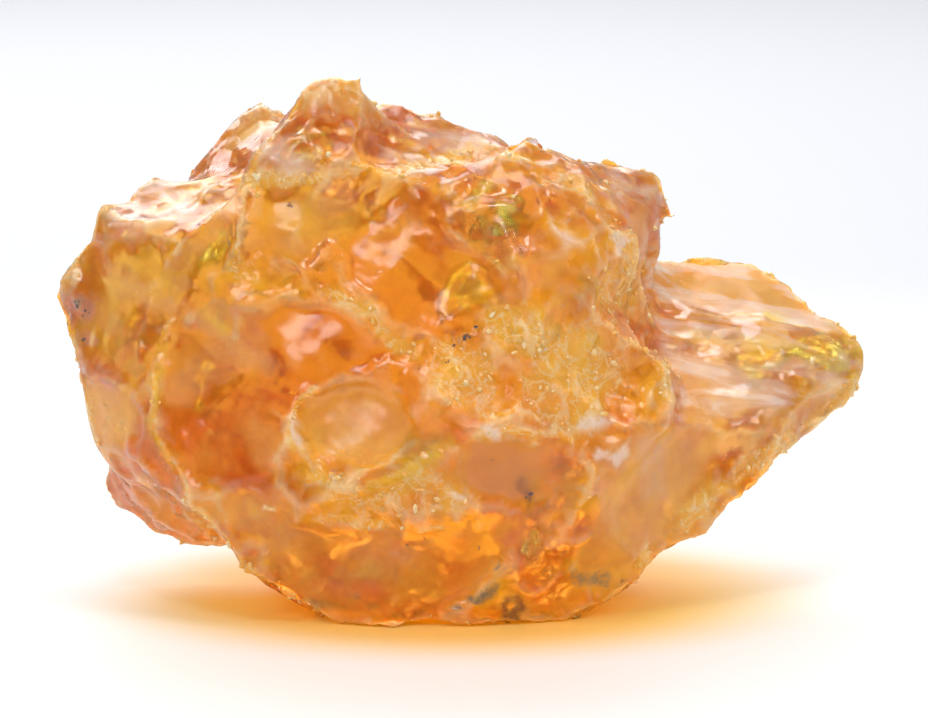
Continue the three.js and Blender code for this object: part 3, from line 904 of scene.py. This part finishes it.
def lump(bm, place, radii, turn, rng, rough=0.18, subdivisions=2):
    """Adds a small uneven lump to a mesh."""
    made = bmesh.ops.create_icosphere(bm, subdivisions=subdivisions, radius=1)["verts"]
    for vert in made:
        vert.co = vert.co * (1 + rng.normal(0, rough))
        vert.co = Euler(turn).to_matrix() @ Vector([c * r for c, r in zip(vert.co, radii)])
        vert.co = (vert.co + Vector(place)) * MM


def new_piece(name, bm, material, smooth_faces=False):
    mesh = bpy.data.meshes.new(name)
    bm.to_mesh(mesh)
    bm.free()
    for polygon in mesh.polygons:
        polygon.use_smooth = smooth_faces
    mesh.materials.append(material)
    piece = bpy.data.objects.new(name, mesh)
    bpy.context.scene.collection.objects.link(piece)
    return piece


class Front:
    """Finds places on the finished surface from where they lie face on."""

    def __init__(self, amber):
        points = read_points(amber.data)
        faces = [tuple(p.vertices) for p in amber.data.polygons]
        self.solid = BVHTree.FromPolygons(points.tolist(), faces)

    def hit(self, mark, depth=0):
        """The surface point at a mark, moved in by depth, and the normal there."""
        through = VIEW_TARGET + mark[0] * VIEW_ASIDE + mark[1] * VIEW_UP
        way = Vector(through - VIEW_POINT).normalized()
        place, normal, _, _ = self.solid.ray_cast(Vector(VIEW_POINT), way)
        return place - normal * depth, normal

    def sink(self, piece, depth=0.12):
        """Draws a sealed piece's points in, so that all of it lies at least this deep."""
        points = read_points(piece.data)
        for i, point in enumerate(points):
            place, normal, _, _ = self.solid.find_nearest(Vector(point))
            if (Vector(point) - place).dot(normal) > -depth:
                points[i] = place - normal * depth
        write_points(piece.data, points)


SPECKS = [  # dark mineral specks on or just under the front: place, size
    ((0.1, 1.4), 0.2), ((0.35, 1.25), 0.15), ((0.65, 1.85), 0.16), ((-0.25, 1.1), 0.1),
    ((-0.55, 0.85), 0.1), ((-1, -0.2), 0.11), ((-2.6, -0.6), 0.07), ((3.85, -7.9), 0.17),
    ((3.7, -8.1), 0.14), ((-10.3, 9), 0.14), ((-22.5, 3.2), 0.24), ((-22.2, 2.7), 0.16),
    ((-22.3, 1.1), 0.17), ((-20.9, -2.7), 0.08), ((-9.6, 3.9), 0.06), ((-17.4, -9.9), 0.12),
    ((-8.9, 1.9), 0.07), ((9.2, -13), 0.1), ((0.9, -11), 0.09), ((5.4, 1.4), 0.07),
    ((-2.3, -10.5), 0.08), ((-3.3, -10.9), 0.09), ((1.6, -5.9), 0.06), ((8.5, 5.3), 0.09),
]

HAIRLINES = [  # dark threads just under the front
    [(-13.4, 7.9), (-13.3, 7.1), (-13.5, 6.3), (-13.3, 5.8)],
    [(-13.9, 7.4), (-13.7, 6.6), (-13.8, 6)],
    [(-13.1, 4), (-12.6, 3.8), (-12.1, 4), (-11.6, 3.7), (-11.3, 3.6)],
    [(-10.9, 3.65), (-10.4, 3.6), (-9.9, 3.5)],
    [(-4, 8.4), (-3.7, 7.6)],
    [(-3.4, 8.6), (-3.1, 7.7)],
    [(-2.7, 8.5), (-2.5, 7.8)],
    [(3.6, -7.5), (3.9, -8.2), (3.6, -8.9)],
]


def make_specks(front, rng):
    bm = bmesh.new()
    for mark, size in SPECKS:
        for _ in range(3):
            aside = rng.normal(0, size * 0.6, 2)
            place, _ = front.hit((mark[0] + aside[0], mark[1] + aside[1]), size * 0.25)
            radii = size * rng.uniform(0.35, 0.85, 3)
            lump(bm, place, radii, rng.uniform(0, 6, 3), rng, subdivisions=1)
    f = new_finish("speck")
    tone = f.mix(f.noise(0.2), (0.05, 0.035, 0.04), (0.16, 0.12, 0.12))
    paint = f.node("ShaderNodeBsdfPrincipled", values={"Base Color": tone, "Roughness": 0.45})
    return new_piece("mineral_specks", bm, f.end(paint))


def make_hairlines(front):
    """Thin threads, each a four-sided tube that follows the surface just under it."""
    bm = bmesh.new()
    radius = 0.045
    for route in HAIRLINES:
        rings = []
        ends = [(np.array(a), np.array(b)) for a, b in zip(route, route[1:])]
        fine = [a + (b - a) * t for a, b in ends for t in (0, 0.5)]
        for n, mark in enumerate([*fine, np.array(route[-1])]):
            place, normal = front.hit(mark, 0.02)
            aside = Vector(VIEW_ASIDE).cross(normal).normalized()
            other = normal.cross(aside)
            thin = radius * (0.4 if n in (0, len(fine)) else 1)
            corners = [aside * thin, other * thin, aside * -thin, other * -thin]
            rings.append([bm.verts.new((place + c) * MM) for c in corners])
        for one, two in zip(rings, rings[1:]):
            for k in range(4):
                bm.faces.new([one[k], one[(k + 1) % 4], two[(k + 1) % 4], two[k]])
        bm.faces.new(rings[0][::-1])
        bm.faces.new(rings[-1])
    bmesh.ops.recalc_face_normals(bm, faces=bm.faces)
    f = new_finish("thread")
    tone = f.mix(f.noise(0.3), (0.1, 0.08, 0.1), (0.22, 0.17, 0.17))
    paint = f.node("ShaderNodeBsdfPrincipled", values={"Base Color": tone, "Roughness": 0.5})
    return new_piece("mineral_threads", bm, f.end(paint))


CRACKS = [  # sealed cracks behind the front: place, how deep, size, lean
    ((-14.4, 6.4), 2.2, 1.8, (0.5, 0.2)), ((1.6, 7.6), 1.6, 2.0, (0.2, -0.5)),
    ((2.6, 8.2), 1.1, 1.0, (0.6, 0.4)), ((0.8, 10.6), 1.2, 0.9, (-0.4, 0.6)),
    ((5.4, -8.2), 1.8, 1.9, (0.5, 0.3)), ((4.2, -10.6), 1.4, 1.3, (0.3, 0.5)),
    ((-2.8, -6.5), 1.5, 1.7, (0.1, 0.6)), ((7.9, 3.9), 1.2, 1.1, (0.6, 0.1)),
    ((-14.8, -1.6), 3.2, 2.2, (0.4, 0.4)), ((21, 1.4), 1.4, 2.2, (0.1, 0.6)),
    ((17, 0.8), 1.8, 2.4, (-0.2, 0.6)), ((-9.2, 13.2), 2.2, 1.6, (0.3, 0.6)),
    ((11, 1.8), 1.5, 1.3, (0.4, 0.4)), ((-6, -12.4), 2.6, 1.8, (0.2, 0.5)),
    ((-19.6, 2.2), 2.4, 1.7, (0.7, 0.2)), ((-0.6, 4.4), 3.4, 2.4, (0.2, 0.7)),
    ((-12.4, -12.4), 1.8, 1.2, (0.4, 0.6)), ((4.4, 1.6), 1.2, 1.5, (0.2, 0.7)),
]


def make_cracks(front, rng):
    """Curved sheets of air sealed in the resin, which flash where they catch the light."""
    bm = bmesh.new()
    for mark, depth, size, lean in CRACKS:
        place, normal = front.hit(mark, depth)
        axis = (normal + Vector(VIEW_ASIDE) * lean[0] + Vector(VIEW_UP) * lean[1]).normalized()
        across = axis.orthogonal().normalized()
        other = axis.cross(across)
        count, rounds = 20, 5
        wave = rng.uniform(0, 6.28, 3)
        sheets = []
        for side in (0.03, -0.03):
            rows = []
            for ring in range(1, rounds + 1):
                row = []
                for k in range(count):
                    angle = 2 * math.pi * k / count
                    edge = 1 + 0.18 * math.sin(3 * angle + wave[0]) + 0.1 * math.sin(7 * angle + wave[1])
                    r = size * edge * ring / rounds
                    bow = 0.16 * r * r / size + 0.05 * size * math.sin(6 * ring / rounds + wave[2])
                    thin = side * (1 - (ring / rounds) ** 4)
                    flat = across * (r * math.cos(angle)) + other * (0.7 * r * math.sin(angle))
                    row.append(bm.verts.new((place + flat + axis * (thin - bow)) * MM))
                rows.append(row)
            middle = bm.verts.new((place + axis * (side - 0.05 * size * math.sin(wave[2]))) * MM)
            for k in range(count):
                bm.faces.new([middle, rows[0][k], rows[0][(k + 1) % count]])
                for one, two in zip(rows, rows[1:]):
                    bm.faces.new([one[k], two[k], two[(k + 1) % count], one[(k + 1) % count]])
            sheets.append(rows[-1])
        for k in range(count):
            one, two = sheets[0], sheets[1]
            bm.faces.new([one[k], two[k], two[(k + 1) % count], one[(k + 1) % count]])
    bmesh.ops.remove_doubles(bm, verts=bm.verts, dist=1e-4 * MM)
    bmesh.ops.recalc_face_normals(bm, faces=bm.faces)
    f = new_finish("crack")
    tone = f.mix(f.noise(1.4).ramp(0.4, 0.6), (1, 0.78, 0.12), (0.85, 0.95, 0.25))
    patchy = f.noise(0.7).ramp(0.35, 0.6, 0.15, 0.9)
    shine = f.node(
        "ShaderNodeBsdfPrincipled",
        values={"Base Color": tone, "Metallic": 0.9, "Roughness": 0.22, "Alpha": patchy},
    )
    return new_piece("sealed_cracks", bm, f.end(shine), smooth_faces=True)


def make_bubbles(front, rng):
    bm = bmesh.new()
    for _ in range(60):
        mark = (rng.uniform(-19, 11), rng.uniform(-12, 10))
        place, _ = front.hit(mark, rng.uniform(0.7, 4))
        size = rng.uniform(0.07, 0.26)
        lump(bm, place, (size, size, size * rng.uniform(0.8, 1.3)), (0, 0, 0), rng, rough=0)
    f = new_finish("bubble")
    air = f.node(
        "ShaderNodeBsdfPrincipled",
        values={"Base Color": (1, 1, 1, 1), "Transmission Weight": 1.0, "IOR": 0.65, "Roughness": 0.02},
    )
    return new_piece("sealed_bubbles", bm, f.end(air), smooth_faces=True)


def crumb_finish():
    f = new_finish("crumb")
    tint = f.noise(0.8, 2)
    tone = f.mix(tint.ramp(0.35, 0.65), (0.94, 0.54, 0.12), (0.98, 0.8, 0.46))
    tone = f.mix(f.noise(3).ramp(0.5, 0.7) * 0.7, tone, (0.9, 0.4, 0.04))
    grit_values = {"Strength": 0.3, "Distance": 0.04 * MM, "Height": f.noise(0.1)}
    grit = f.node("ShaderNodeBump", values=grit_values)
    glaze = f.node(
        "ShaderNodeBsdfPrincipled",
        values={
            "Base Color": tone,
            "IOR": RESIN_IOR,
            "Roughness": tint.ramp(0.3, 0.7, 0.08, 0.3),
            "Normal": grit,
        },
    )
    return f.end(glaze)


# ------------------------------------------------------------------ floor and light


def make_floor():
    bm = bmesh.new()
    bmesh.ops.create_circle(bm, cap_ends=True, segments=96, radius=1500 * MM)
    mesh = bpy.data.meshes.new("floor")
    bm.to_mesh(mesh)
    bm.free()
    floor = bpy.data.objects.new("floor", mesh)
    bpy.context.scene.collection.objects.link(floor)
    f = new_finish("floor")
    out = f.vector("LENGTH", f.place(), output="Value")
    tone = f.mix(out.ramp(60 * MM, 130 * MM), (0.94, 0.94, 0.94), (0.72, 0.73, 0.765))
    # A painted pool of yellow light on the floor round the nugget, where light through the resin would
    # fall.
    painted_glow_spread = f.vector("MULTIPLY", f.place(), (1 / 18, 1 / 15, 0))
    under = f.vector("LENGTH", painted_glow_spread, output="Value").ramp(1.3 * MM, 0.7 * MM)
    tone = f.mix(under * 0.85, tone, (0.92, 0.62, 0.05))
    haze = f.mix(out.ramp(300 * MM, 620 * MM), (0, 0, 0), (0.62, 0.635, 0.665))
    paint = f.node(
        "ShaderNodeBsdfPrincipled",
        values={"Base Color": tone, "Roughness": 0.6, "Emission Color": haze, "Emission Strength": 1.0},
    )
    mesh.materials.append(f.end(paint))


LAMPS = {  # place, aim, size, watts
    "key": ((-60, 290, 240), (0, 0, 12), (300, 240), 0.8),
    "top": ((30, 30, 330), (0, 0, 12), (130, 130), 0.22),
    "front": ((-170, -230, 220), (0, 0, 14), (110, 110), 0.24),
    "glint": ((-60, -110, 300), (0, 0, 16), (40, 40), 0.12),
    "window": ((190, -90, 200), (0, 0, 16), (50, 90), 0.14),
}


def make_light(name, place, aim, size, power):
    data = bpy.data.lights.new(name, "AREA")
    data.shape = "RECTANGLE"
    data.size, data.size_y = size[0] * MM, size[1] * MM
    data.energy = power
    lamp = bpy.data.objects.new(name, data)
    lamp.location = Vector(place) * MM
    lamp.rotation_euler = (Vector(aim) - Vector(place)).to_track_quat("-Z", "Y").to_euler()
    bpy.context.scene.collection.objects.link(lamp)


def studio_sky():
    """Pale all round to the eye, but a softer light from the front than from above and behind."""
    f = Finish(bpy.data.worlds.new("studio"))
    way = f.node("ShaderNodeTexCoord", output="Generated")
    lit = f.vector("DOT_PRODUCT", way, (0, 0.6, 0.8), output="Value")
    tone = f.mix(lit.ramp(-0.35, 0.55), (0.15, 0.15, 0.15), (0.46, 0.465, 0.48))
    seen = f.node("ShaderNodeLightPath", output="Is Camera Ray")
    tone = f.mix(seen, tone, (0.905, 0.93, 0.98))
    sky = f.node("ShaderNodeBackground", values={"Color": tone})
    return f.end(sky, kind="ShaderNodeOutputWorld")


def make_studio():
    scene = bpy.context.scene
    scene.view_settings.view_transform = "Standard"
    scene.cycles.max_bounces = 6
    scene.cycles.transmission_bounces = 5
    scene.cycles.diffuse_bounces = 2
    scene.cycles.glossy_bounces = 2
    scene.world = studio_sky()
    for name, lamp in LAMPS.items():
        make_light(name, *lamp)


make_camera()
amber = make_amber()
amber.data.materials.clear()
amber.data.materials.append(amber_finish())
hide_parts(NODE)
front = Front(amber)
draw = np.random.default_rng(23)
crumbs = make_crumbs(amber, crumb_finish())
lowest, highest = (np.array(corner) / MM for corner in cad_box)
keep_inside(crumbs, lowest + 0.01, highest - 0.01)
specks = make_specks(front, draw)
threads = make_hairlines(front)
cracks = make_cracks(front, draw)
bubbles = make_bubbles(front, draw)
for sealed in (cracks, bubbles):
    front.sink(sealed)
for piece in (amber, crumbs, specks, threads, cracks, bubbles):
    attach(piece, "root")

make_floor()
make_studio()
